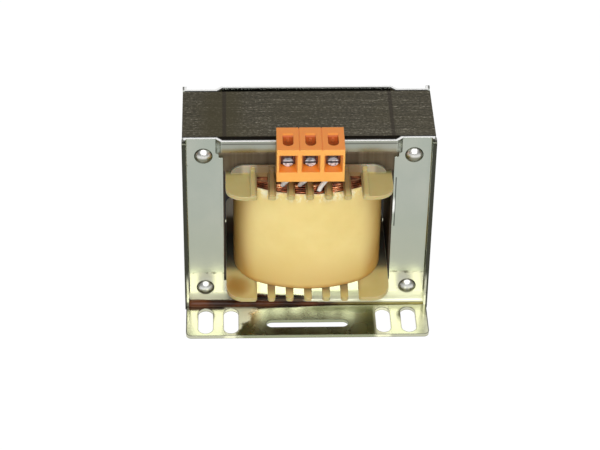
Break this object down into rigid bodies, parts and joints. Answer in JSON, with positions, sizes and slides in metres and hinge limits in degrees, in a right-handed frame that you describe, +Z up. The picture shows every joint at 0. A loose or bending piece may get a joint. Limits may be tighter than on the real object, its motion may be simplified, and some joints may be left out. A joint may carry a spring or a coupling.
{
  "type": "autotransformer",
  "caption": "Open-frame laminated-core autotransformer with slotted pressed feet, a taped winding on a comb-flanged bobbin and a screw terminal block.",
  "frame": {"origin": "on the mounting surface under the feet, at the middle of the whole outline in X and Y", "axes": "+X along the long side of the core, to the right seen from the terminal block; +Y from the terminal block to the back; +Z up from the feet"},
  "size_m": [0.0962, 0.0746, 0.0881],
  "materials": {
    "lamination": "varnished silicon steel, dark olive brown, edges finely layered",
    "zinc_sheet": "bright zinc plate with a faint yellow tint",
    "rivet": "bright steel",
    "bobbin_nylon": "translucent natural nylon, slightly amber",
    "copper": "enamelled copper wire, brown and glossy",
    "inner_tape": "thin insulating film",
    "wrap_tape": "cream insulating tape, faintly glossy",
    "terminal_plastic": "orange moulded plastic, satin",
    "clamp_metal": "plated steel",
    "screw_metal": "bright plated steel",
    "white_sleeve": "white silicone sleeving",
    "solder": "tin solder, smooth",
    "varnish": "set impregnating varnish, red brown, glossy"
  },
  "bodies": {
    "root": {"core_e_pack_1": "lamination", "core_i_pack_1": "lamination", "core_e_pack_2": "lamination", "core_i_pack_2": "lamination", "core_e_pack_3": "lamination", "core_i_pack_3": "lamination", "core_e_pack_4": "lamination", "core_i_pack_4": "lamination", "core_e_pack_5": "lamination", "core_i_pack_5": "lamination", "core_e_pack_6": "lamination", "core_i_pack_6": "lamination", "frame_front": "zinc_sheet", "frame_rear": "zinc_sheet", "rivet_1": "rivet", "rivet_2": "rivet", "rivet_3": "rivet", "rivet_4": "rivet", "bobbin": "bobbin_nylon", "winding_inner": "copper", "interlayer_insulation": "inner_tape", "winding_outer": "copper", "outer_wrap": "wrap_tape", "terminal_housing": "terminal_plastic", "clamp_cage_1": "clamp_metal", "clamp_screw_1": "screw_metal", "lead_wire_1": "copper", "lead_sleeve_1": "white_sleeve", "solder_joint_1": "solder", "clamp_cage_2": "clamp_metal", "clamp_screw_2": "screw_metal", "lead_wire_2": "copper", "lead_sleeve_2": "white_sleeve", "solder_joint_2": "solder", "clamp_cage_3": "clamp_metal", "clamp_screw_3": "screw_metal", "lead_wire_3": "copper", "lead_sleeve_3": "white_sleeve", "solder_joint_3": "solder", "varnish_bead": "varnish"}
  },
  "joints": []
}
